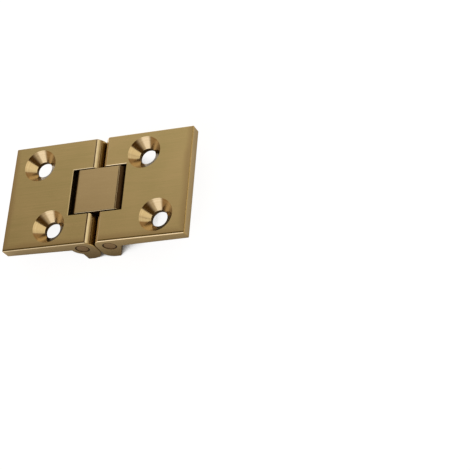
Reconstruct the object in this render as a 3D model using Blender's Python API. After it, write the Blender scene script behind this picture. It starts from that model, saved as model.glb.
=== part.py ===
"""A solid brass folding hinge with two pivots, lying open and flat on its knuckles.

Two cast leaves are joined by a short link. Each leaf turns on its own pin, so
the leaves fold up by a right angle each, until their top faces stand face to
face. The top of the link is flush with the leaves, which is why this kind of
hinge is let into bar flaps and table leaves.

X runs across both leaves, Y along the pins, Z up. The origin is on the
surface that the hinge stands on, under the middle of the link.
"""

import math

import bmesh
import bpy
from mathutils import Matrix

MM = 0.001

# Overall size, with both leaves open
HINGE_LENGTH = 60.0 * MM
HINGE_WIDTH = 35.0 * MM
FOOT_DEPTH = 10.9 * MM

# Each plate thins from above its pin to its outer edge
PLATE_THICKNESS_INNER = 4.4 * MM
PLATE_THICKNESS_OUTER = 3.7 * MM

# The two pins
PIN_SPACING = 9.0 * MM
PIN_DEPTH = 3.7 * MM
PIN_RADIUS = 2.0 * MM
PIN_RECESS = 0.1 * MM
PIN_EDGE = 0.22 * MM
RUNNING_CLEARANCE = 0.05 * MM
BORE_CHAMFER = 0.18 * MM

# The leaves' knuckles, in section
KNUCKLE_RADIUS = 4.4 * MM
BOSS_RADIUS = 3.9 * MM
BOSS_FILLET = 0.9 * MM
FOOT_WIDTH_OUTBOARD = 1.6 * MM
FOOT_WIDTH_INBOARD = 0.8 * MM
FOOT_SHOULDER_DEPTH = 7.0 * MM
FOOT_TIP_INSET = 1.3 * MM
FOOT_TIP_RISE = 1.1 * MM
HEEL_RADIUS = 3.0 * MM
HEEL_WIDTH_OUTBOARD = 0.4 * MM
GUSSET_REACH = 3.7 * MM

# The link that joins the leaves
LINK_RADIUS = 4.28 * MM
LINK_WIDTH = 14.6 * MM
LINK_EDGE = 0.22 * MM
NOTCH_SIDE_CLEARANCE = 0.3 * MM
SWING_CLEARANCE = 0.12 * MM

# The countersunk screw holes, two in each leaf and staggered, with the right leaf's further in
HOLE_RADIUS = 2.6 * MM
COUNTERSINK_RADIUS = 5.3 * MM
COUNTERSINK_ANGLE = math.radians(90.0)
OUTER_HOLE_INSET = 9.1 * MM
INNER_HOLE_INSET = 15.0 * MM
RIGHT_HOLES_INWARD = 0.6 * MM
HOLE_SIDE_INSET = 6.85 * MM

# Edges and facets
LEAF_EDGE = 0.3 * MM
RIM_CHAMFER = 0.15 * MM
EDGE_STEPS = 3
SHARP_ANGLE = math.radians(25.0)
ARC_STEP = math.radians(4.0)
ROUND_SIDES = 72
CUTTER_EXCESS = 1.0 * MM

# Sizes that follow from those above
LEAF_REACH = (HINGE_LENGTH - PIN_SPACING) / 2
PIN_HEIGHT = FOOT_DEPTH - PIN_DEPTH
UNDERSIDE_AT_PIN = PIN_DEPTH - PLATE_THICKNESS_INNER
UNDERSIDE_SLOPE = math.atan2(PLATE_THICKNESS_INNER - PLATE_THICKNESS_OUTER, LEAF_REACH)
NOTCH_REACH = LINK_RADIUS + SWING_CLEARANCE
NOTCH_WIDTH = LINK_WIDTH + 2 * NOTCH_SIDE_CLEARANCE
BORE_RADIUS = PIN_RADIUS + RUNNING_CLEARANCE
LEFT = -1
RIGHT = 1


def clear_scene():
    """Empty the scene of what Blender starts with."""
    for thing in list(bpy.data.objects):
        bpy.data.objects.remove(thing, do_unlink=True)


def brass(name, colour, roughness):
    """A brass with its own colour (linear) and polish."""
    material = bpy.data.materials.new(name)
    material.use_nodes = True
    shader = material.node_tree.nodes["Principled BSDF"]
    shader.inputs["Base Color"].default_value = (*colour, 1.0)
    shader.inputs["Metallic"].default_value = 1.0
    shader.inputs["Roughness"].default_value = roughness
    return material


def arc(centre, radius, start, end):
    """Points on an arc from one angle to another, both ends included."""
    steps = max(2, math.ceil(abs(end - start) / ARC_STEP))
    angles = (start + (end - start) * i / steps for i in range(steps + 1))
    return [
        (centre[0] + radius * math.cos(a), centre[1] + radius * math.sin(a))
        for a in angles
    ]


def underside(x):
    """Level of the plate's underside, measured from the pin, at a distance outboard of it."""
    return UNDERSIDE_AT_PIN + x * math.tan(UNDERSIDE_SLOPE)


def knuckle_top():
    """The round inboard side of a knuckle, from the top face down to the level of the pin.

    It is an arc about the pin, so it clears the other leaf as this one folds.
    The top face cuts it off before it closes over the pin.
    """
    start = math.pi - math.asin(PIN_DEPTH / KNUCKLE_RADIUS)
    return arc((0.0, 0.0), KNUCKLE_RADIUS, start, math.pi)


def left_profile():
    """Section of the left leaf, seen along the pin.

    The pin is at (0, 0), x runs outboard and y up. A round boss holds the
    pin, and a narrow foot drops from it on the inboard side.
    """
    foot = -(FOOT_DEPTH - PIN_DEPTH)
    shoulder = PIN_DEPTH - FOOT_SHOULDER_DEPTH
    tip_side = (FOOT_TIP_INSET - KNUCKLE_RADIUS, foot + FOOT_TIP_RISE)
    # The fillet touches the foot's outer side and the boss from outside.
    fillet_x = FOOT_WIDTH_OUTBOARD + BOSS_FILLET
    reach = BOSS_RADIUS + BOSS_FILLET
    fillet_centre = (fillet_x, -math.sqrt(reach**2 - fillet_x**2))
    towards_pin = math.atan2(-fillet_centre[1], -fillet_centre[0])
    boss_start = math.atan2(fillet_centre[1], fillet_centre[0])
    # The boss ends where the sloping underside crosses its circle.
    drop = UNDERSIDE_AT_PIN * math.cos(UNDERSIDE_SLOPE)
    boss_end = UNDERSIDE_SLOPE + math.asin(drop / BOSS_RADIUS)
    return [
        (LEAF_REACH, underside(LEAF_REACH)),
        (LEAF_REACH, PIN_DEPTH),
        *knuckle_top(),
        (-KNUCKLE_RADIUS, shoulder),
        tip_side,
        (-FOOT_WIDTH_INBOARD, foot),
        (FOOT_WIDTH_OUTBOARD, foot),
        *arc(fillet_centre, BOSS_FILLET, math.pi, towards_pin),
        *arc((0.0, 0.0), BOSS_RADIUS, boss_start, boss_end)[1:],
    ]


def right_profile():
    """Section of the right leaf, seen along the pin, with x running outboard.

    Its knuckle is one thick web: the inboard heel is rounded, and the
    outboard side slants up to the plate as a gusset.
    """
    foot = -(FOOT_DEPTH - PIN_DEPTH)
    heel_centre = (HEEL_RADIUS - KNUCKLE_RADIUS, foot + HEEL_RADIUS)
    return [
        (LEAF_REACH, underside(LEAF_REACH)),
        (LEAF_REACH, PIN_DEPTH),
        *knuckle_top(),
        *arc(heel_centre, HEEL_RADIUS, math.pi, 1.5 * math.pi),
        (HEEL_WIDTH_OUTBOARD, foot),
        (GUSSET_REACH, underside(GUSSET_REACH)),
    ]


def link_profile():
    """Section of the link: round ends about both pins, and a flat top flush with the leaves.

    The left pin is at (0, 0).
    """
    top = math.asin(PIN_DEPTH / LINK_RADIUS)
    right_pin = (PIN_SPACING, 0.0)
    return [
        *arc((0.0, 0.0), LINK_RADIUS, math.pi - top, 1.5 * math.pi),
        *arc(right_pin, LINK_RADIUS, -0.5 * math.pi, top),
    ]


def new_object(name, bm, material=None):
    """Turn a bmesh into an object with smooth rounds and sharp edges."""
    bmesh.ops.recalc_face_normals(bm, faces=bm.faces)
    mesh = bpy.data.meshes.new(name)
    bm.to_mesh(mesh)
    bm.free()
    mesh.shade_smooth()
    mesh.set_sharp_from_angle(angle=SHARP_ANGLE)
    thing = bpy.data.objects.new(name, mesh)
    bpy.context.scene.collection.objects.link(thing)
    if material:
        mesh.materials.append(material)
    return thing


def extrude_profile(profile, width):
    """A bmesh of a section in X and Z, extruded along Y and centred on it."""
    bm = bmesh.new()
    near = [bm.verts.new((x, -width / 2, z)) for x, z in profile]
    face = bm.faces.new(near)
    side = bmesh.ops.extrude_face_region(bm, geom=[face])["geom"]
    moved = [item for item in side if isinstance(item, bmesh.types.BMVert)]
    bmesh.ops.translate(bm, verts=moved, vec=(0.0, width, 0.0))
    bmesh.ops.recalc_face_normals(bm, faces=bm.faces)
    return bm


def round_edges(bm, size):
    """Round off each outward edge that is sharper than the smooth arcs."""
    sharp = [
        edge
        for edge in bm.edges
        if edge.is_manifold and edge.calc_face_angle_signed() > SHARP_ANGLE
    ]
    bmesh.ops.bevel(
        bm,
        geom=sharp,
        offset=size,
        offset_type="OFFSET",
        segments=EDGE_STEPS,
        profile=0.5,
        affect="EDGES",
        clamp_overlap=True,
    )


def turned(profile, along_y=False):
    """A closed bmesh turned from (radius, height) points that start and end on its axis."""
    bm = bmesh.new()
    points = [bm.verts.new((radius, 0.0, height)) for radius, height in profile]
    lines = [bm.edges.new(pair) for pair in zip(points, points[1:])]
    bmesh.ops.spin(
        bm,
        geom=points + lines,
        cent=(0.0, 0.0, 0.0),
        axis=(0.0, 0.0, 1.0),
        angle=2 * math.pi,
        steps=ROUND_SIDES,
        use_merge=True,
    )
    bmesh.ops.remove_doubles(bm, verts=bm.verts, dist=1e-7)
    if along_y:
        bmesh.ops.transform(
            bm, matrix=Matrix.Rotation(-math.pi / 2, 4, "X"), verts=bm.verts
        )
    return bm


def cut(target, name, bm, location):
    """Cut a shape out of the target, with the shape left as a hidden guide."""
    cutter = new_object(name, bm)
    cutter.location = location
    cutter.parent = target
    cutter.hide_render = True
    cutter.display_type = "WIRE"
    modifier = target.modifiers.new(name, "BOOLEAN")
    modifier.operation = "DIFFERENCE"
    modifier.solver = "EXACT"
    modifier.object = cutter


def notch_cutter(side):
    """The opening that the link turns in, with a fine chamfer round its top."""
    flare = RIM_CHAMFER + CUTTER_EXCESS
    wide = NOTCH_WIDTH / 2
    inboard = -(KNUCKLE_RADIUS + CUTTER_EXCESS)
    levels = (
        (-(FOOT_DEPTH + CUTTER_EXCESS), 0.0),
        (PIN_DEPTH - RIM_CHAMFER, 0.0),
        (PIN_DEPTH + CUTTER_EXCESS, flare),
    )
    bm = bmesh.new()
    rings = []
    for height, grow in levels:
        corners = (
            (inboard - grow, -wide - grow),
            (NOTCH_REACH + grow, -wide - grow),
            (NOTCH_REACH + grow, wide + grow),
            (inboard - grow, wide + grow),
        )
        rings.append([bm.verts.new((side * x, y, height)) for x, y in corners])
    bm.faces.new(rings[0])
    bm.faces.new(rings[-1])
    for low, high in zip(rings, rings[1:]):
        for i in range(4):
            j = (i + 1) % 4
            bm.faces.new((low[i], low[j], high[j], high[i]))
    return bm


def screw_cutter():
    """A clearance hole with a countersink that opens at the top face."""
    slope = math.tan(COUNTERSINK_ANGLE / 2)
    cone_depth = (COUNTERSINK_RADIUS - HOLE_RADIUS) / slope
    wide = COUNTERSINK_RADIUS + CUTTER_EXCESS * slope
    top = PIN_DEPTH
    bottom = UNDERSIDE_AT_PIN - CUTTER_EXCESS
    return turned(
        [
            (0.0, top + CUTTER_EXCESS),
            (wide, top + CUTTER_EXCESS),
            (HOLE_RADIUS, top - cone_depth),
            (HOLE_RADIUS, bottom),
            (0.0, bottom),
        ]
    )


def bore_cutter(width):
    """A bore along the pin, with both mouths chamfered."""
    mouth = width / 2
    past = mouth + CUTTER_EXCESS
    wide = BORE_RADIUS + BORE_CHAMFER + CUTTER_EXCESS
    return turned(
        [
            (0.0, past),
            (wide, past),
            (BORE_RADIUS, mouth - BORE_CHAMFER),
            (BORE_RADIUS, BORE_CHAMFER - mouth),
            (wide, -past),
            (0.0, -past),
        ],
        along_y=True,
    )


def make_leaf(name, side, profile, outer_hole_side, material, holes_inward=0.0):
    """One cast leaf: plate and knuckles in one, with its origin on its pin's axis.

    Both of its screw holes can lie nearer the pin by holes_inward.
    """
    bm = extrude_profile([(side * x, z) for x, z in profile], HINGE_WIDTH)
    round_edges(bm, LEAF_EDGE)
    leaf = new_object(name, bm, material)
    cut(leaf, name + "_notch", notch_cutter(side), (0.0, 0.0, 0.0))
    cut(leaf, name + "_bore", bore_cutter(HINGE_WIDTH), (0.0, 0.0, 0.0))
    across = HINGE_WIDTH / 2 - HOLE_SIDE_INSET
    reach = LEAF_REACH - holes_inward
    outer = (side * (reach - OUTER_HOLE_INSET), outer_hole_side * across, 0.0)
    inner = (side * (reach - INNER_HOLE_INSET), -outer_hole_side * across, 0.0)
    cut(leaf, name + "_outer_screw", screw_cutter(), outer)
    cut(leaf, name + "_inner_screw", screw_cutter(), inner)
    return leaf


def make_link(material):
    """The link between the pins, with its origin on the left pin's axis."""
    bm = extrude_profile(link_profile(), LINK_WIDTH)
    round_edges(bm, LINK_EDGE)
    link = new_object("link", bm, material)
    cut(link, "link_left_bore", bore_cutter(LINK_WIDTH), (0.0, 0.0, 0.0))
    cut(link, "link_right_bore", bore_cutter(LINK_WIDTH), (PIN_SPACING, 0.0, 0.0))
    return link


def make_pin(name, material):
    """A plain pin as long as the hinge is wide, with eased ends just below the knuckles' faces."""
    end = HINGE_WIDTH / 2 - PIN_RECESS
    bm = turned(
        [
            (0.0, end),
            (PIN_RADIUS - PIN_EDGE, end),
            (PIN_RADIUS, end - PIN_EDGE),
            (PIN_RADIUS, PIN_EDGE - end),
            (PIN_RADIUS - PIN_EDGE, -end),
            (0.0, -end),
        ],
        along_y=True,
    )
    return new_object(name, bm, material)


def main():
    clear_scene()
    leaf_brass = brass("satin_cast_brass", (0.42, 0.30, 0.13), 0.34)
    link_brass = brass("satin_brass_bar", (0.43, 0.31, 0.15), 0.32)
    pin_brass = brass("drawn_brass_rod", (0.34, 0.23, 0.10), 0.42)

    left_leaf = make_leaf("left_leaf", LEFT, left_profile(), 1, leaf_brass)
    left_leaf.location = (-PIN_SPACING / 2, 0.0, PIN_HEIGHT)
    left_pin = make_pin("left_pin", pin_brass)
    left_pin.parent = left_leaf

    link = make_link(link_brass)
    link.parent = left_leaf

    right_leaf = make_leaf(
        "right_leaf", RIGHT, right_profile(), -1, leaf_brass, RIGHT_HOLES_INWARD
    )
    right_leaf.parent = link
    right_leaf.location = (PIN_SPACING, 0.0, 0.0)
    right_pin = make_pin("right_pin", pin_brass)
    right_pin.parent = right_leaf


main()
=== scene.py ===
# %% [markdown]
# # A satin brass folding hinge
# The real hinge is two thick brass leaves, a short link between them and two plain pins. Its beauty
# is all in the metal: linished top faces, crisp countersinks cut in a drill press, and round
# knuckles that catch the light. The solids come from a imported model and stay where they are. This
# script gives them their finishes, and sets up the studio that the metal mirrors.

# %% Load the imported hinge
import math

import bmesh
import bpy
import numpy as np
from mathutils import Matrix, Vector


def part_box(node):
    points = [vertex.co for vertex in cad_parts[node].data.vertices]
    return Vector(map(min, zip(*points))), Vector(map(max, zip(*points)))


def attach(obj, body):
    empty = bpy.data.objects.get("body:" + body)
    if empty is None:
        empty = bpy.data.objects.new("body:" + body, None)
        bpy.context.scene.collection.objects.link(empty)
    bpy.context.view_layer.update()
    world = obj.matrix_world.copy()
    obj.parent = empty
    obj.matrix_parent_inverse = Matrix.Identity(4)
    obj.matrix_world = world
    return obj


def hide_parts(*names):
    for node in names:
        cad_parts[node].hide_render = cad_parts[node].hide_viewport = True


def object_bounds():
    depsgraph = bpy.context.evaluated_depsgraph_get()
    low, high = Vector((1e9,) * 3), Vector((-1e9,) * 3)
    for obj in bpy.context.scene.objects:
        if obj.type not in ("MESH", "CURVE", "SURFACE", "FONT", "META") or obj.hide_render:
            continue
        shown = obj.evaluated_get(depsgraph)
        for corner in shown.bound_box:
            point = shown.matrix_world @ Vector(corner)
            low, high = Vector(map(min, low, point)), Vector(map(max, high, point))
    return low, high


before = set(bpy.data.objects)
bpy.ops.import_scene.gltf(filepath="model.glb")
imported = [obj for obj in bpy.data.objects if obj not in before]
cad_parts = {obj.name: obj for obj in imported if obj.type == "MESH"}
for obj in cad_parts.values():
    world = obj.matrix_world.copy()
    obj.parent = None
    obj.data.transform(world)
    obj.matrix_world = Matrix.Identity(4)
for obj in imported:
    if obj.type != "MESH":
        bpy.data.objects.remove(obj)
cad_low, cad_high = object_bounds()
print("nodes:", ", ".join(sorted(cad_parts)))
print("box in mm:", [round(1000 * (h - l), 2) for l, h in zip(cad_low, cad_high)])

# %% [markdown]
# ## Two small helpers
# Colours are easiest to judge as sRGB hex values, as a picture editor shows them, but shaders count
# in linear light, so one function converts them. A second function adds a node with its settings
# and links, so that each material below reads from top to bottom as a recipe.

# %% Colour and node helpers
MM = 0.001


def linear(hex_colour):
    """An sRGB hex colour as linear RGBA: the sRGB curve undone, channel by channel."""
    value = np.array([int(hex_colour[i : i + 2], 16) for i in (1, 3, 5)]) / 255
    curve = np.where(value <= 0.04045, value / 12.92, ((value + 0.055) / 1.055) ** 2.4)
    return (*curve.tolist(), 1.0)


def add_node(tree, kind, inputs=None, **settings):
    """Add a node, set its properties, then fill each named input from a value or another socket."""
    node = tree.nodes.new(kind)
    for name, value in settings.items():
        setattr(node, name, value)
    for name, value in (inputs or {}).items():
        if isinstance(value, bpy.types.NodeSocket):
            tree.links.new(value, node.inputs[name])
        else:
            node.inputs[name].default_value = value
    return node


print("mid brass in linear light:", [round(c, 3) for c in linear("#AA915D")[:3]])

# %% [markdown]
# ## Smooth copies of the leaves and the link
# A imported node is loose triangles, so its round knuckles and countersinks would show facets. The
# leaves could be modelled again with finer rounds, but a merged copy keeps the exact shape. Its
# doubled points are joined first, and the triangles of each flat face become one large face. All
# faces are then shaded smooth, with sharp edges past an angle, and a Weighted Normal modifier lets
# the largest face at each point decide the shading. So flat faces stay truly flat, and the fine
# rounding along their edges turns evenly from one face to the next.

# %% Merge a node into one clean mesh
MERGE_DISTANCE = 0.001 * MM
ONE_PLANE = math.radians(0.4)
SHARP_ANGLE = math.radians(35)


def merged_copy(node):
    """A copy of a node as one smooth mesh, with its object at the origin."""
    bm = bmesh.new()
    bm.from_mesh(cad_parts[node].data)
    bmesh.ops.remove_doubles(bm, verts=bm.verts, dist=MERGE_DISTANCE)
    bmesh.ops.dissolve_limit(bm, angle_limit=ONE_PLANE, verts=bm.verts, edges=bm.edges)
    mesh = bpy.data.meshes.new(node + "_brass")
    bm.to_mesh(mesh)
    bm.free()
    for layer in ("custom_normal", "sharp_face", "sharp_edge"):
        if layer in mesh.attributes:
            mesh.attributes.remove(mesh.attributes[layer])
    mesh.shade_smooth()
    mesh.set_sharp_from_angle(angle=SHARP_ANGLE)
    piece = bpy.data.objects.new(mesh.name, mesh)
    bpy.context.scene.collection.objects.link(piece)
    even = piece.modifiers.new("even_shading", "WEIGHTED_NORMAL")
    even.mode = "FACE_AREA"
    even.keep_sharp = True
    return piece


left_leaf = merged_copy("left_leaf")
right_leaf = merged_copy("right_leaf")
link = merged_copy("link")
for piece in (left_leaf, right_leaf, link):
    print(piece.name, len(piece.data.vertices), "points,", len(piece.data.polygons), "faces")

# %% [markdown]
# ## Pins as turned surfaces
# Each pin is a length of drawn rod, faced flat in a lathe, with its edges eased. A plain cylinder
# with a bevel would do from far off, but the facing tool leaves fine rings, a few thousandths of a
# millimetre deep, that catch the light as a disc does. So the profile is worked out as an array of
# radii and places along the axis, rings and all, and is turned in the next step.

# %% The profile of a pin
PIN_EDGE = 0.22 * MM
FACING_PITCH = 0.42 * MM
FACING_DEPTH = 0.006 * MM
FACING_STATIONS = 34


def pin_profile(radius, end):
    """Radii and places along the axis, from one face to the other, and the place of the centre.

    An end face is y = end - depth * (1 + cos(2 pi r / pitch)) / 2, from the centre out to the eased
    edge, which runs at 45 degrees to the full radius. The other end is the same, turned round.
    """
    face_r = np.linspace(0, radius - PIN_EDGE, FACING_STATIONS)
    face_y = end - FACING_DEPTH * (1 + np.cos(2 * np.pi * face_r / FACING_PITCH)) / 2
    face_y[-1] = end
    half_r = np.append(face_r, radius)
    half_y = np.append(face_y, end - PIN_EDGE)
    r = np.concatenate([half_r[1:], half_r[:0:-1]])
    y = np.concatenate([half_y[1:], -half_y[:0:-1]])
    return r, y, half_y[0]


print("stations on a pin's profile:", len(pin_profile(MM, MM)[0]))

# %% [markdown]
# A turned surface is the profile carried round the axis. With an angle t and a station on the
# profile, a point is (r cos t, y, r sin t), and both are whole arrays, so numpy works out every
# point at once. A Screw modifier could do the turning too, but the arrays also say which faces are
# the eased edges, where oil has gathered, and these get a dark finish of their own that also paints
# the shade in the gap round the pin.

# %% Turn the pins
PIN_SIDES = 96
PIN_SHARP_ANGLE = math.radians(30)


def turned_faces(rings):
    """Four-sided faces from each ring of points to the next, and a fan to a pole at each end."""
    row = np.arange(rings - 1)[:, None] * PIN_SIDES
    this = np.arange(PIN_SIDES)[None, :]
    after = (this + 1) % PIN_SIDES
    sides = np.stack(
        [row + this, row + after, row + PIN_SIDES + after, row + PIN_SIDES + this], axis=-1
    ).reshape(-1, 4)
    last = (rings - 1) * PIN_SIDES
    pole = np.full(PIN_SIDES, rings * PIN_SIDES)
    fans = np.concatenate(
        [
            np.column_stack([after[0], this[0], pole]),
            np.column_stack([last + this[0], last + after[0], pole + 1]),
        ]
    )
    return sides, fans


def turned_pin(node):
    """A closed turned surface, (r cos t, y, r sin t), about the axis of the node's own box."""
    low, high = (np.array(corner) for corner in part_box(node))
    middle = (low + high) / 2
    radius, end = (high - low)[:2] / 2
    r, y, centre_y = pin_profile(radius, end)
    t = np.linspace(0, 2 * np.pi, PIN_SIDES, endpoint=False)
    grid = np.stack(
        [
            middle[0] + np.outer(r, np.cos(t)),
            middle[1] + np.outer(y, np.ones_like(t)),
            middle[2] + np.outer(r, np.sin(t)),
        ],
        axis=-1,
    ).reshape(-1, 3)
    poles = middle + np.array([(0, centre_y, 0), (0, -centre_y, 0)])
    sides, fans = turned_faces(len(r))
    mesh = bpy.data.meshes.new(node + "_rod")
    mesh.from_pydata(np.concatenate([grid, poles]).tolist(), [], sides.tolist() + fans.tolist())
    # The eased edges are the strips of faces on each side of the long barrel's strip.
    strip = np.repeat(np.arange(len(r) - 1), PIN_SIDES)
    eased = np.isin(strip, (FACING_STATIONS - 2, FACING_STATIONS))
    finish = np.concatenate([eased, np.zeros(len(fans), bool)])
    # The eased edges get the oily finish: old oil, and also painted shade in the gap round the pin.
    mesh.polygons.foreach_set("material_index", finish.astype(np.int32))
    bm = bmesh.new()
    bm.from_mesh(mesh)
    bmesh.ops.recalc_face_normals(bm, faces=bm.faces)
    bm.to_mesh(mesh)
    bm.free()
    mesh.shade_smooth()
    mesh.set_sharp_from_angle(angle=PIN_SHARP_ANGLE)
    piece = bpy.data.objects.new(mesh.name, mesh)
    bpy.context.scene.collection.objects.link(piece)
    return piece


left_pin = turned_pin("left_pin")
right_pin = turned_pin("right_pin")
print("each pin:", len(left_pin.data.polygons), "faces")

# %% [markdown]
# ## Which face had which tool
# A leaf is cast, then its top is linished on a belt and its edges are broken with a polishing
# wheel. Its sides are milled, and its screw holes are drilled and countersunk. The walls of the
# joint see no polish, only oil and brass dust, and their dark finish also paints the shade that
# falls between the parts. Faces could be picked by hand, but the choice would be lost with each
# new imported model. So each face takes its finish from where it lies and where it faces, and the
# hinge's main places are named first.

# %% Places on the hinge
OUTER_HOLE_INSET = 9.1 * MM
INNER_HOLE_INSET = 15.0 * MM
RIGHT_HOLES_INWARD = 0.6 * MM
HOLE_SIDE_INSET = 6.85 * MM
HOLE_RADIUS = 2.6 * MM
COUNTERSINK_RADIUS = 5.3 * MM
EDGE_WIDTH = 0.32 * MM
NOTCH_REACH = 9.1 * MM
NOTCH_HALF_WIDTH = 7.8 * MM
BORE_MOUTH_RADIUS = 2.3 * MM

TOP = cad_high.z
LEAF_END = cad_high.x
HALF_WIDTH = cad_high.y
pin_low, pin_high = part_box("right_pin")
PIN_X = (pin_low.x + pin_high.x) / 2
PIN_Z = (pin_low.z + pin_high.z) / 2
across = HALF_WIDTH - HOLE_SIDE_INSET
outer = LEAF_END - OUTER_HOLE_INSET
inner = LEAF_END - INNER_HOLE_INSET
HOLES = np.array(
    [
        (-outer, across),
        (-inner, -across),
        (outer - RIGHT_HOLES_INWARD, -across),
        (inner - RIGHT_HOLES_INWARD, across),
    ]
)
print("hole axes in mm:", (HOLES / MM).round(2).tolist())
print("pin axes in mm: x", round(PIN_X / MM, 2), "z", round(PIN_Z / MM, 2))

# %% [markdown]
# The rules are a list, and the first one that fits a face decides. Distances to the hole axes and
# to the pin axes tell the round features apart, and parts of the face's normal tell which way it
# looks: 1 is straight along an axis, and 0 is square to it. It all runs for all faces at once.

# %% Sort each face by its finish
FINISH_NAMES = ("linished", "polished", "countersunk", "milled", "cast", "oily_and_shaded", "drilled")
LINISHED, POLISHED, COUNTERSUNK, MILLED, CAST, OILY_AND_SHADED, DRILLED = range(len(FINISH_NAMES))
LEVEL = 0.999
TILTED = 0.05
SQUARE_TO = 0.1
END_FACING = 0.9
CONE_UP = math.sqrt(0.5)
POLISHED_UP_TO = 0.5
LINK_RIM_UP = 0.86


def from_hole(points):
    """Distance from the nearest screw hole's axis, for rows of points."""
    return np.linalg.norm(points[:, None, :2] - HOLES[None], axis=2).min(axis=1)


def sort_faces(mesh, is_link):
    """A finish for each face, from its normal and its centre."""
    count = len(mesh.polygons)
    normal, centre = np.empty(count * 3), np.empty(count * 3)
    mesh.polygons.foreach_get("normal", normal)
    mesh.polygons.foreach_get("center", centre)
    normal, centre = normal.reshape(-1, 3), centre.reshape(-1, 3)
    out, side, height = np.abs(centre[:, 0]), np.abs(centre[:, 1]), centre[:, 2]
    up, along = normal[:, 2], np.abs(normal[:, 1])
    hole = from_hole(centre)
    pin = np.hypot(out - PIN_X, height - PIN_Z)
    upright = np.abs(up) < SQUARE_TO
    turns_about_pin = along < END_FACING
    square_to_pin = along < SQUARE_TO
    at_end = out > LEAF_END - EDGE_WIDTH
    at_side = at_end | (side > HALF_WIDTH - EDGE_WIDTH)
    on_rim = (height > TOP - EDGE_WIDTH) & (up > TILTED)
    on_cone = (hole < COUNTERSINK_RADIUS) & (np.abs(up - CONE_UP) < TILTED)
    on_knuckle = (out < PIN_X) & (height > PIN_Z) & turns_about_pin
    in_notch = (out < NOTCH_REACH) & (side < NOTCH_HALF_WIDTH)
    notch_wall = in_notch & square_to_pin & upright & (out > NOTCH_REACH - EDGE_WIDTH)
    rules = (
        (on_rim & (up > LEVEL), LINISHED),
        (on_cone, COUNTERSUNK),
        ((hole < HOLE_RADIUS) & upright, DRILLED),
        # The bore mouths, the link's ends and the notch get the oily finish: old oil and dust, and
        # also painted shade between the parts.
        ((pin < BORE_MOUTH_RADIUS) & turns_about_pin, OILY_AND_SHADED),
        (is_link & square_to_pin & (up < LINK_RIM_UP), OILY_AND_SHADED),
        (on_rim & at_end, MILLED),
        (on_rim, POLISHED),
        (notch_wall, CAST),
        (in_notch, OILY_AND_SHADED),
        (on_knuckle & (up > POLISHED_UP_TO), POLISHED),
        (on_knuckle, MILLED),
        (at_side & (up < -TILTED), CAST),
        (at_side, MILLED),
    )
    finish = np.select([rule for rule, _ in rules], [kind for _, kind in rules], CAST)
    mesh.polygons.foreach_set("material_index", finish.astype(np.int32))
    return np.bincount(finish, minlength=len(FINISH_NAMES))


for piece in (left_leaf, right_leaf, link):
    counts = sort_faces(piece.data, piece is link)
    print(piece.name, "faces:", dict(zip(FINISH_NAMES, counts.tolist())))

# %% [markdown]
# A countersink's tool marks are rings round the hole, whatever way the leaf lies. Rings could be
# placed by the leaf's coordinates, one hole at a time, but one stored number does for all four: the
# distance from the nearest hole axis. On a cone that distance changes evenly from one rim to the
# other, which is just how a mesh fills in a value between its points.

# %% Store the distance from the hole axis
for piece in (left_leaf, right_leaf, link):
    points = np.empty(len(piece.data.vertices) * 3)
    piece.data.vertices.foreach_get("co", points)
    ring = piece.data.attributes.new("ring_radius", "FLOAT", "POINT")
    ring.data.foreach_set("value", from_hole(points.reshape(-1, 3)).astype(np.float32))
print("ring radius stored on three pieces")

# %% [markdown]
# ## Grain of the metal
# Each tool leaves its own marks: a belt leaves fine straight scratches, a milling cutter leaves
# bands, a drill leaves rings, and the mould's sand leaves pebbles. A picture of scratches would
# stretch on the sides of a thick leaf, so the marks are a noise in space, stretched by their sizes
# in mm along X, Y and Z. Real belt scratches are a few hundredths of a millimetre wide, too fine to
# show here, so they are drawn a quarter of a millimetre wide, and the other marks are coarse too.

# %% Marks of each tool
BELT_MARKS = (9.0, 0.25, 0.25)
WHEEL_MARKS = (1.5, 1.5, 1.5)
MILLING_MARKS = (6.0, 6.0, 0.3)
SAND_MARKS = (0.6, 0.6, 0.6)
RUBBED_MARKS = (3.0, 0.3, 3.0)
DRILL_MARKS = (1.0, 1.0, 0.2)
DRAWING_MARKS = (0.4, 6.0, 0.4)
CUTTER_RINGS = 0.35
MARKS_DETAIL = 3.0
RINGS_DETAIL = 2.0


def metal_grain(tree, place, marks, rings):
    """Noise stretched by the marks' sizes, or spaced by rings over the distance from the hole."""
    if rings:
        radius = add_node(tree, "ShaderNodeAttribute", attribute_name="ring_radius").outputs["Fac"]
        return add_node(
            tree,
            "ShaderNodeTexNoise",
            {"W": radius, "Scale": 1 / (rings * MM), "Detail": RINGS_DETAIL},
            noise_dimensions="1D",
        ).outputs["Fac"]
    scale = tuple(1 / (size * MM) for size in marks)
    stretched = add_node(tree, "ShaderNodeMapping", {"Vector": place, "Scale": scale})
    return add_node(
        tree,
        "ShaderNodeTexNoise",
        {"Vector": stretched.outputs["Vector"], "Scale": 1.0, "Detail": MARKS_DETAIL},
    ).outputs["Fac"]


print("a belt scratch in mm, along and across:", BELT_MARKS[:2])

# %% [markdown]
# ## Painted shade along the rim
# The last few millimetres of a leaf's top at its outer end and front edge are drawn browner, and a
# fine dark line runs along the front edge. Both are painted shade: the band stands for a darker
# reflection near the edges, and the line for the dark reflection just inside the polished edge.
# Both could be painted by hand onto the mesh. Here the distance past the edges does it, as it
# stays exact, and a cloud of noise is added to the distance so that the band has no ruled border.

# %% Paint shade on the rim of a leaf
# Painted shade: a ragged browner band along the end and front edge, and a fine dark line along the
# front edge, standing in for darker reflections.
PAINTED_RIM_SHADE_RAGGED = 3.0
PAINTED_RIM_SHADE_BAND = (-1.1, 1.1)
PAINTED_EDGE_LINE_BAND = (-0.72, -0.5)
PAINTED_EDGE_LINE = "#5E4A1C"


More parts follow.
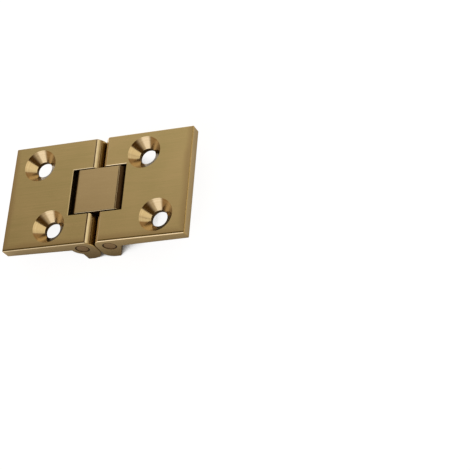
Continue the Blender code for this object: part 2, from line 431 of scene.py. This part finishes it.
def past_edges(tree, place):
    """How far a point lies past the leaf's outer end, |x| - end, and its front edge, -width - y."""
    part = add_node(tree, "ShaderNodeSeparateXYZ", {0: place})
    out = add_node(tree, "ShaderNodeMath", {0: part.outputs["X"]}, operation="ABSOLUTE")
    end = add_node(tree, "ShaderNodeMath", {0: out.outputs[0], 1: LEAF_END}, operation="SUBTRACT")
    front = add_node(
        tree, "ShaderNodeMath", {0: -HALF_WIDTH, 1: part.outputs["Y"]}, operation="SUBTRACT"
    )
    return end.outputs[0], front.outputs[0]


def paint_rim_shade(tree, place, cloud, colour, painted_rim_shade):
    """The colour with a ragged browner band along the end and the front edge, and a fine dark line
    along the front, both painted shade.
    """
    end, front = past_edges(tree, place)
    nearest = add_node(tree, "ShaderNodeMath", {0: end, 1: front}, operation="MAXIMUM")
    ragged = add_node(
        tree,
        "ShaderNodeMath",
        {0: cloud, 1: PAINTED_RIM_SHADE_RAGGED * MM, 2: nearest.outputs[0]},
        operation="MULTIPLY_ADD",
    )
    # First the ragged band of painted shade, then the fine painted dark line along the front.
    for distance, (low, high), over in (
        (ragged.outputs[0], PAINTED_RIM_SHADE_BAND, painted_rim_shade),
        (front, PAINTED_EDGE_LINE_BAND, PAINTED_EDGE_LINE),
    ):
        share = add_node(
            tree,
            "ShaderNodeMapRange",
            {"Value": distance, "From Min": low * MM, "From Max": high * MM},
            interpolation_type="SMOOTHSTEP",
        ).outputs["Result"]
        colour = add_node(
            tree, "ShaderNodeMix", {0: share, 6: colour, 7: linear(over)}, data_type="RGBA"
        ).outputs[2]
    return colour


print("tarnish starts about", PAINTED_RIM_SHADE_RAGGED / 2 - PAINTED_RIM_SHADE_BAND[0], "mm inside an edge")

# %% [markdown]
# ## Satin brass
# Brass is copper and zinc, so it is a yellow metal with no diffuse colour of its own: it is all
# mirror, and its finish decides how blurred the mirror is. Tone, roughness and relief could each
# have a noise of their own, but on real metal one scratch changes all three, so one grain drives
# them together. A larger, softer cloud shifts only the tone, as handling does.

# %% One recipe for every brass
CLOUD_SIZE = 14.0
CLOUD_DETAIL = 2.0
CLOUD_SHARE = 0.45
DARKEST_AT = 0.32
LIGHTEST_AT = 0.68


def brass_material(name, light, dark, rough, depth, marks=None, rings=0.0, painted_rim_shade=""):
    """Brass between two tones, with a roughness of middle and spread, and relief depth in mm.

    With rings, the grain follows the distance from the hole axis, at that pitch in mm. With a
    painted shade colour, the tone goes over to it along the leaf's end and front edge.
    """
    material = bpy.data.materials.new(name)
    material.use_nodes = True
    tree = material.node_tree
    shader = tree.nodes["Principled BSDF"]
    shader.inputs["Metallic"].default_value = 1.0
    place = add_node(tree, "ShaderNodeTexCoord").outputs["Object"]
    grain = metal_grain(tree, place, marks, rings)
    cloud = add_node(
        tree,
        "ShaderNodeTexNoise",
        {"Vector": place, "Scale": 1 / (CLOUD_SIZE * MM), "Detail": CLOUD_DETAIL},
    ).outputs["Fac"]
    mixed = add_node(tree, "ShaderNodeMix", {"Factor": CLOUD_SHARE, "A": grain, "B": cloud})
    tone = add_node(
        tree,
        "ShaderNodeMapRange",
        {"Value": mixed.outputs["Result"], "From Min": DARKEST_AT, "From Max": LIGHTEST_AT},
    )
    colour = add_node(
        tree,
        "ShaderNodeMix",
        {0: tone.outputs["Result"], 6: linear(dark), 7: linear(light)},
        data_type="RGBA",
    ).outputs[2]
    # Painted shade along the leaf's end and front edge.
    if painted_rim_shade:
        colour = paint_rim_shade(tree, place, cloud, colour, painted_rim_shade)
    tree.links.new(colour, shader.inputs["Base Color"])
    middle, spread = rough
    roughness = add_node(
        tree,
        "ShaderNodeMapRange",
        {"Value": grain, "To Min": middle - spread, "To Max": middle + spread},
    )
    tree.links.new(roughness.outputs["Result"], shader.inputs["Roughness"])
    relief = add_node(tree, "ShaderNodeBump", {"Height": grain, "Distance": depth * MM})
    tree.links.new(relief.outputs["Normal"], shader.inputs["Normal"])
    return material


print("clouds of tone are about", CLOUD_SIZE, "mm across")

# %% [markdown]
# ## The finishes
# All are the same brass, so one plain material could serve. But the eye reads a tool by its tone
# and its gloss: freshly cut and polished brass is pale and sharp, the handled top is darker, cast
# skin is dull, and what lies in the joint is brown with old oil and darker still as painted shade
# between the parts. So each tool gets its own, and the right leaf gets lighter copies of the
# polished and milled brass as painted light.

# %% Mix the finishes
# Belt-linished brass: fine scratches along the leaf, evenly handled and slightly darkened, with
# painted shade browning its end and front edge.
linished = brass_material(
    "linished_brass", "#B69D6C", "#A59260", (0.2, 0.03), 0.0015, BELT_MARKS, painted_rim_shade="#A0875B"
)
# The link's bar is a slightly redder and greyer brass than the leaves, linished the same way.
linished_bar = brass_material(
    "linished_brass_bar", "#B39B70", "#A99167", (0.2, 0.03), 0.0015, BELT_MARKS
)
# Wheel-polished brass: pale, smooth and bright along broken edges and knuckles. The right leaf's
# copy is lighter, as painted light on the more brightly lit leaf.
polished = brass_material(
    "polished_brass", "#AF9C78", "#A5916A", (0.13, 0.03), 0.001, WHEEL_MARKS
)
polished_painted_lighter = brass_material(
    "polished_brass_painted_lighter", "#CBB58C", "#BFA87C", (0.13, 0.03), 0.001, WHEEL_MARKS
)
# Countersunk brass: fresh from the cutter, with fine rings round the hole.
countersunk = brass_material(
    "countersunk_brass", "#BCA67F", "#B19A71", (0.15, 0.03), 0.002, rings=CUTTER_RINGS
)
# Milled brass: faint bands along the cut, a little duller than the top, with a lighter copy for
# the right leaf as painted light on its more brightly lit sides.
milled = brass_material("milled_brass", "#9E8554", "#917846", (0.26, 0.05), 0.004, MILLING_MARKS)
milled_painted_lighter = brass_material(
    "milled_brass_painted_lighter", "#A88E59", "#997F4B", (0.26, 0.05), 0.004, MILLING_MARKS
)
# Cast brass: pebbled by the mould's sand, and dull.
cast = brass_material("sand_cast_brass", "#A0875A", "#876C44", (0.42, 0.07), 0.02, SAND_MARKS)
# Oily brass: dark with old oil and brass dust where the link turns, faintly rubbed round the pin,
# and darker still as painted shade in the joint's gaps.
oily_and_shaded = brass_material("oily_and_shaded_brass", "#493520", "#3A2915", (0.45, 0.07), 0.003, RUBBED_MARKS)
# Drilled brass: the walls of the screw holes, with faint rings left by the drill.
drilled = brass_material("drilled_brass", "#8E7349", "#7C623C", (0.2, 0.05), 0.006, DRILL_MARKS)
# Drawn brass rod: drawing lines along the pin, and dull faced ends.
rod = brass_material("drawn_brass_rod", "#947544", "#7E6036", (0.3, 0.05), 0.004, DRAWING_MARKS)

LEFT_LEAF_FINISHES = (linished, polished, countersunk, milled, cast, oily_and_shaded, drilled)
# The right leaf takes the lighter copies, painted light for its more brightly lit faces.
RIGHT_LEAF_FINISHES = (
    linished,
    polished_painted_lighter,
    countersunk,
    milled_painted_lighter,
    cast,
    oily_and_shaded,
    drilled,
)
LINK_FINISHES = (linished_bar, *LEFT_LEAF_FINISHES[1:])
PIN_FINISHES = (rod, oily_and_shaded)
used = {*LEFT_LEAF_FINISHES, *RIGHT_LEAF_FINISHES, *LINK_FINISHES, *PIN_FINISHES}
print("finishes:", ", ".join(sorted(finish.name for finish in used)))

# %% [markdown]
# ## Dress the pieces
# On the real hinge each leaf turns with its own pin, and the link turns between them. So each piece
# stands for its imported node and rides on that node's body. Its faces already hold the number of
# their finish, so it is enough to hang the materials on it in that order, with no face picked by
# hand.

# %% Dress the pieces and set them on their bodies
for piece, node, body, slot, finishes in (
    (left_leaf, "left_leaf", "left_leaf", "cast_brass", LEFT_LEAF_FINISHES),
    (right_leaf, "right_leaf", "right_leaf", "cast_brass", RIGHT_LEAF_FINISHES),
    (link, "link", "link", "bar_brass", LINK_FINISHES),
    (left_pin, "left_pin", "left_leaf", "rod_brass", PIN_FINISHES),
    (right_pin, "right_pin", "right_leaf", "rod_brass", PIN_FINISHES),
):
    for material in finishes:
        piece.data.materials.append(material)
    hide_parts(node)
    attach(piece, body)

# %% [markdown]
# ## The studio
# Metal shows what is round it, so the studio is the picture. A lens of about 95 mm looks down at
# the hinge from the front right. The camera could be turned by eye, but a place and three measured
# directions hold it exactly: the picture's right, its up, and back along the line of sight.

# %% Camera
CAMERA_PLACE = Vector((168.64, -163.89, 300.06)) * MM
CAMERA_RIGHT = Vector((0.9296, 0.0654, -0.3627))
CAMERA_UP = Vector((0.0963, 0.9068, 0.4105))
CAMERA_BACK = Vector((0.3557, -0.4165, 0.8366))
LENS = 95.12
SENSOR_WIDTH = 36.0
NEAREST_SEEN = 10 * MM

camera_data = bpy.data.cameras.new("camera")
camera_data.sensor_width = SENSOR_WIDTH
camera_data.lens = LENS
camera_data.clip_start = NEAREST_SEEN
camera = bpy.data.objects.new("camera", camera_data)
bpy.context.scene.collection.objects.link(camera)
turn = Matrix((CAMERA_RIGHT, CAMERA_UP, CAMERA_BACK)).transposed().to_4x4()
camera.matrix_world = Matrix.Translation(CAMERA_PLACE) @ turn
bpy.context.scene.camera = camera
print("camera at", [round(c, 4) for c in camera.matrix_world.translation])

# %% [markdown]
# ## Floor
# The hinge stands on a large sheet of pale paper. A plane is all it takes, a hair below the feet so
# that the two surfaces never fight for the same place. What is subtle is its material, which the
# next steps build in two halves, one for the camera and one for the metal.

# %% Lay the sheet
FLOOR_SIDE = 4.0
FLOOR_DROP = 0.02 * MM

half = FLOOR_SIDE / 2
corners = ((-half, -half), (half, -half), (half, half), (-half, half))
floor_mesh = bpy.data.meshes.new("floor")
floor_mesh.from_pydata([(x, y, -FLOOR_DROP) for x, y in corners], [], [(0, 1, 2, 3)])
floor = bpy.data.objects.new("floor", floor_mesh)
bpy.context.scene.collection.objects.link(floor)
paper = bpy.data.materials.new("pale_paper")
paper.use_nodes = True
paper.node_tree.nodes.clear()
floor_mesh.materials.append(paper)
print("floor side", FLOOR_SIDE, "m")

# %% [markdown]
# The metal sees the paper bright a little way off, and dimmer and warmer close to the hinge, where
# the brass shades it and throws its own colour back. Many bounces of light would work that out, but
# slowly and with grain. A smooth step over the distance past the hinge's outline gives the same
# soft change, and it is shown only to glossy rays.

# %% What the metal sees of the floor
NEAR_GLOW = ("#FFE9A8", 0.03)
FAR_GLOW = ("#FFFDFA", 1.2)
NEAR_EDGE = -2.5 * MM
FAR_EDGE = 18 * MM
END_OPENING = 2 * MM


def glowing(colour, strength):
    """A linear colour times a strength, as RGBA."""
    return (*(strength * c for c in linear(colour)[:3]), 1.0)


tree = paper.node_tree
spot = add_node(tree, "ShaderNodeTexCoord").outputs["Object"]
spot_part = add_node(tree, "ShaderNodeSeparateXYZ", {0: spot})
beyond = []
for axis, reach in (("X", LEAF_END - END_OPENING), ("Y", HALF_WIDTH)):
    size = add_node(tree, "ShaderNodeMath", {0: spot_part.outputs[axis]}, operation="ABSOLUTE")
    past = add_node(tree, "ShaderNodeMath", {0: size.outputs[0], 1: reach}, operation="SUBTRACT")
    beyond.append(past.outputs[0])
away = add_node(tree, "ShaderNodeMath", {0: beyond[0], 1: beyond[1]}, operation="MAXIMUM")
openness = add_node(
    tree,
    "ShaderNodeMapRange",
    {"Value": away.outputs[0], "From Min": NEAR_EDGE, "From Max": FAR_EDGE},
    interpolation_type="SMOOTHSTEP",
)
mirrored_glow = add_node(
    tree,
    "ShaderNodeMix",
    {0: openness.outputs["Result"], 6: glowing(*NEAR_GLOW), 7: glowing(*FAR_GLOW)},
    data_type="RGBA",
).outputs[2]
print("glow changes over", round((FAR_EDGE - NEAR_EDGE) / MM, 1), "mm")

# %% [markdown]
# The camera sees white paper with the hinge's faint shadow on it. Seen through the narrow gaps of
# the joint, white paper would look lit from below, so it goes dark where little open sky is left
# above it. An Ambient Occlusion node measures just that: the share of nearby directions that are
# free. A painted patch would do at rest, but this shade follows the hinge as it folds.

# %% What the camera sees of the floor
SHOWN_WHITE = 0.91
DEEP_SHADE = ("#FFEBCB", 0.06)
SHADE_REACH = 10 * MM
SHADE_FULL = 0.24
SHADE_NONE = 0.41


def grey(level):
    """A linear grey as RGBA."""
    return (level, level, level, 1.0)


open_sky = add_node(tree, "ShaderNodeAmbientOcclusion", {"Distance": SHADE_REACH}).outputs["AO"]
unshaded = add_node(
    tree,
    "ShaderNodeMapRange",
    {"Value": open_sky, "From Min": SHADE_FULL, "From Max": SHADE_NONE},
    interpolation_type="SMOOTHSTEP",
)
shown_glow = add_node(
    tree,
    "ShaderNodeMix",
    {0: unshaded.outputs["Result"], 6: glowing(*DEEP_SHADE), 7: grey(SHOWN_WHITE)},
    data_type="RGBA",
).outputs[2]
print("shade is full where less than", SHADE_FULL, "of the sky is open")

# %% [markdown]
# The paper both glows and takes light, and Light Path tells which ray is asking. Each half has
# three answers: one for the camera, one for what the metal mirrors, and one for the soft light that
# the paper throws back. Two separate floors, one for each kind of ray, would need twice the
# objects, so one material holds all three.

# %% Put the paper together
SHEET_COLOUR = "#F9F9F8"
SHOWN_SHADE = 0.2
MIRRORED_SHADE = 0.45

ray = add_node(tree, "ShaderNodeLightPath")


def by_ray(colour, to_metal, to_camera):
    """The colour for soft light, or another for the rays of a mirror or of the camera."""
    for kind, answer in (("Is Glossy Ray", to_metal), ("Is Camera Ray", to_camera)):
        colour = add_node(
            tree, "ShaderNodeMix", {0: ray.outputs[kind], 6: colour, 7: answer}, data_type="RGBA"
        ).outputs[2]
    return colour


glow_colour = by_ray(grey(0.0), mirrored_glow, shown_glow)
sheet_colour = by_ray(linear(SHEET_COLOUR), grey(MIRRORED_SHADE), grey(SHOWN_SHADE))
sheet = add_node(tree, "ShaderNodeBsdfDiffuse", {"Color": sheet_colour})
glow = add_node(tree, "ShaderNodeEmission", {"Color": glow_colour, "Strength": 1.0})
surface = add_node(tree, "ShaderNodeAddShader", {0: sheet.outputs[0], 1: glow.outputs[0]})
add_node(tree, "ShaderNodeOutputMaterial", {"Surface": surface.outputs[0]})
print("paper nodes:", len(tree.nodes))

# %% [markdown]
# ## The room
# Two soft boxes stand at the edges of the camera's side, which is dark between them. The top faces
# mirror a pale wall across the room, and a darker ceiling ring above it draws the fine dark lines
# along their edges. Area lamps could be hung round the hinge, but their hard edges would show in
# the polished metal. So the room is built from soft-edged patches of light on the world, each given
# by an azimuth and an elevation in degrees, because such patches cast soft light and mirror
# cleanly.

# %% Patches of light
ROOM = ("#C8BFB2", 1.0)
PATCHES = (
    # name, azimuth, half width, softness, elevation, half height, softness, colour, strength
    ("low wall", 0, 181, 6, 5, 15, 6, "#FFD9A8", 0.52),
    ("pale wall", 100, 36.5, 25, 44.5, 13.5, 8, "#FFFCF8", 1.05),
    ("ceiling ring", 0, 181, 4, 66, 7, 4, "#BC9C76", 0.35),
    ("left ceiling", -175, 37, 5, 57, 8, 5, "#BC9C76", 0.3),
    ("dark side", -38, 34, 3, 38, 16, 3, "#5C4420", 1.0),
    ("front glow", -98, 32, 34, 30, 24, 12, "#FFF7EE", 0.85),
    ("front box", -114.5, 22.5, 14, 28, 29, 6, "#EDEFFC", 2.05),
    ("right box", 19, 34, 8, 40, 14.5, 4, "#FFFAE9", 1.45),
    ("right skirt", 42, 10.5, 6, 20, 6.5, 5, "#FFFAE9", 1.25),
    ("right top", 39, 17, 8, 45.5, 11, 6, "#FFFFFF", 1.8),
)


def soft_window(tree, value, half_size, softness):
    """1 within the half size and 0 beyond it, with a soft step between."""
    size = add_node(tree, "ShaderNodeMath", {0: value}, operation="ABSOLUTE")
    return add_node(
        tree,
        "ShaderNodeMapRange",
        {
            "Value": size.outputs[0],
            "From Min": half_size + softness / 2,
            "From Max": half_size - softness / 2,
        },
        interpolation_type="SMOOTHSTEP",
    ).outputs["Result"]


print("patches:", ", ".join(patch[0] for patch in PATCHES))

# %% [markdown]
# The world asks each ray for its direction, turns that into the two angles, and lays the patches
# over the room one by one, as layers in a picture editor. The order matters, because a later patch
# covers an earlier one. The camera itself sees only white.

# %% Build the room
HALF_TURN = 180.0

world = bpy.data.worlds.new("room")
bpy.context.scene.world = world
world.use_nodes = True
tree = world.node_tree
tree.nodes.clear()
look = add_node(tree, "ShaderNodeTexCoord").outputs["Generated"]
part = add_node(tree, "ShaderNodeSeparateXYZ", {0: look})
turned_by = add_node(
    tree, "ShaderNodeMath", {0: part.outputs["Y"], 1: part.outputs["X"]}, operation="ARCTAN2"
)
azimuth = add_node(tree, "ShaderNodeMath", {0: turned_by.outputs[0]}, operation="DEGREES")
raised_by = add_node(tree, "ShaderNodeMath", {0: part.outputs["Z"]}, operation="ARCSINE")
elevation = add_node(tree, "ShaderNodeMath", {0: raised_by.outputs[0]}, operation="DEGREES")

light = glowing(*ROOM)
for name, turn, wide, side_soft, rise, tall, edge_soft, colour, strength in PATCHES:
    aside = add_node(
        tree, "ShaderNodeMath", {0: azimuth.outputs[0], 1: float(turn)}, operation="SUBTRACT"
    )
    around = add_node(
        tree,
        "ShaderNodeMath",
        {0: aside.outputs[0], 1: HALF_TURN, 2: -HALF_TURN},
        operation="WRAP",
    )
    above = add_node(
        tree, "ShaderNodeMath", {0: elevation.outputs[0], 1: float(rise)}, operation="SUBTRACT"
    )
    inside = add_node(
        tree,
        "ShaderNodeMath",
        {
            0: soft_window(tree, around.outputs[0], wide, side_soft),
            1: soft_window(tree, above.outputs[0], tall, edge_soft),
        },
        operation="MULTIPLY",
    )
    light = add_node(
        tree,
        "ShaderNodeMix",
        {0: inside.outputs[0], 6: light, 7: glowing(colour, strength)},
        data_type="RGBA",
        label=name,
    ).outputs[2]
ray = add_node(tree, "ShaderNodeLightPath")
seen = add_node(
    tree,
    "ShaderNodeMix",
    {0: ray.outputs["Is Camera Ray"], 6: light, 7: grey(1.0)},
    data_type="RGBA",
)
backdrop = add_node(tree, "ShaderNodeBackground", {"Color": seen.outputs[2], "Strength": 1.0})
add_node(tree, "ShaderNodeOutputWorld", {"Surface": backdrop.outputs[0]})
print("world nodes:", len(tree.nodes))

# %% [markdown]
# ## Colour handling
# The Standard view shows colours as they are written, where a film-like view would fade the brass.

# %% Colour handling and the last steps
bpy.context.scene.view_settings.view_transform = "Standard"
